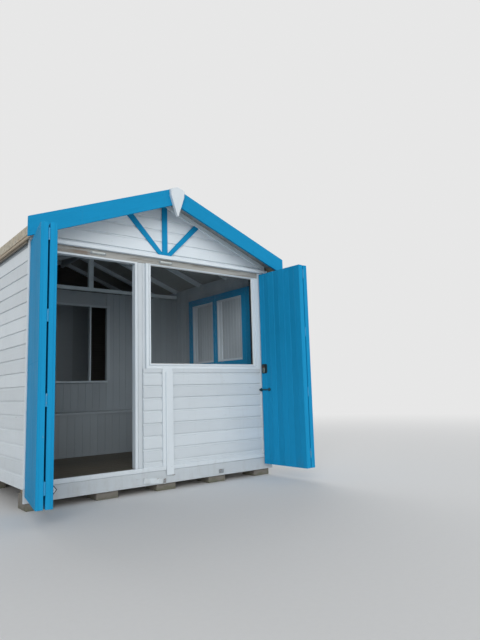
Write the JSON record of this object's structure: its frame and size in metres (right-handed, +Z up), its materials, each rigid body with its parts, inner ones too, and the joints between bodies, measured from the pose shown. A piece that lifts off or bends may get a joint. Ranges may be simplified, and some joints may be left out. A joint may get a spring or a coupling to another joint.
{
  "type": "beach hut",
  "caption": "Gabled timber beach hut with a doorway, a fixed front window, a box bench and two pairs of folding doors standing open.",
  "frame": {"origin": "on the ground at the middle of the hut's footprint, at the underside of the middle pier", "axes": "+X to the right seen from the front, +Y from the front into the hut, +Z up"},
  "size_m": [2.9218, 3.8358, 3.003],
  "materials": {
    "masonry": "rough cast block",
    "bare_timber": "weathered softwood",
    "floor_boards": "worn brown boards",
    "white_paint": "white gloss paint on shiplap",
    "inside_paint": "white satin paint",
    "blue_paint": "azure gloss paint on boards",
    "roof_felt": "mineral felt",
    "pane": "clear",
    "ironwork": "dull galvanised, rust spotted"
  },
  "bodies": {
    "root": {"barge_left": "blue_paint", "barge_rear": "blue_paint", "barge_right": "blue_paint", "bearers": "bare_timber", "bench_front": "inside_paint", "bench_seat": "inside_paint", "cabin_hook": "ironwork", "centre_batten": "white_paint", "cleat_board": "white_paint", "corner_boards": "white_paint", "corner_plate": "ironwork", "corner_posts": "white_paint", "dado_wall": "white_paint", "door_frame": "white_paint", "door_left_inner": "blue_paint", "door_left_outer": "blue_paint", "door_right_inner": "blue_paint", "door_right_outer": "blue_paint", "eave_boards": "roof_felt", "fascias": "roof_felt", "finial": "white_paint", "floor_deck": "floor_boards", "floor_joists": "bare_timber", "front_gable": "white_paint", "gable_fan": "blue_paint", "hasp": "ironwork", "hatch_ledge": "inside_paint", "hatch_post": "inside_paint", "header_beam": "white_paint", "hinges_left": "ironwork", "hinges_right": "ironwork", "keeps": "ironwork", "lamps": "white_paint", "left_wall": "white_paint", "middle_post": "white_paint", "partition": "inside_paint", "piers": "masonry", "plinth_board": "white_paint", "rafters": "inside_paint", "rake_trim": "white_paint", "rear_wall": "white_paint", "ridge_board": "inside_paint", "right_wall": "white_paint", "roof_left": "roof_felt", "roof_right": "roof_felt", "shutter_post": "inside_paint", "shutters": "blue_paint", "threshold_rail": "white_paint", "trim_rail": "white_paint", "truss": "inside_paint", "window_frame": "white_paint", "window_glass": "pane"}
  },
  "joints": []
}
